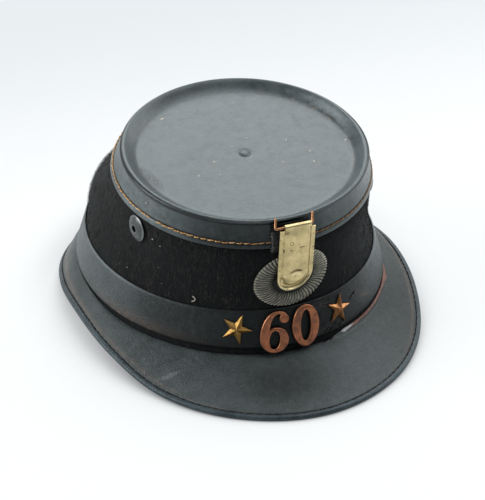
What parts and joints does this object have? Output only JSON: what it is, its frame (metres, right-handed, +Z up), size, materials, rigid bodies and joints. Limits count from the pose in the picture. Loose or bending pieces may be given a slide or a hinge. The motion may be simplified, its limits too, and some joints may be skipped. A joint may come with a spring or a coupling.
{
  "type": "shako",
  "caption": "Field shako with a sloping felt crown, dished leather top, leather band and bound brim, and a hinged plate, cockade, numerals and stars on the front.",
  "frame": {"origin": "on the surface that the brim rests on, under the middle of the hat's box", "axes": "+Z up, -Y towards the front peak, +X towards the wearer's left, on the right of the picture"},
  "size_m": [0.1926, 0.2474, 0.1103],
  "materials": {
    "felt": "napped wool felt, near black",
    "top_leather": "smooth lacquered leather, worn satin",
    "leather": "smooth black leather, worn satin",
    "paint": "black paint",
    "bronze": "dark patina",
    "plate_brass": "pale worn brass",
    "star_brass": "yellow brass",
    "copper": "dull copper"
  },
  "bodies": {
    "hat": {"crown_body": "felt", "crown_top": "top_leather", "head_band": "leather", "brim": "leather", "brim_binding": "leather", "plume_tab": "leather", "wire_loop": "copper", "cockade": "bronze", "vent_left": "paint", "vent_right": "paint", "numeral_left": "copper", "numeral_right": "copper", "star_left": "star_brass", "star_right": "star_brass"},
    "plate": {"plate": "plate_brass"}
  },
  "joints": [
    {"name": "plate_hinge", "type": "hinge", "parent": "hat", "child": "plate", "pos_m": [0.0012, -0.07545, 0.0876], "axis": [-1, 0, 0], "range_deg": [0, 100]}
  ]
}
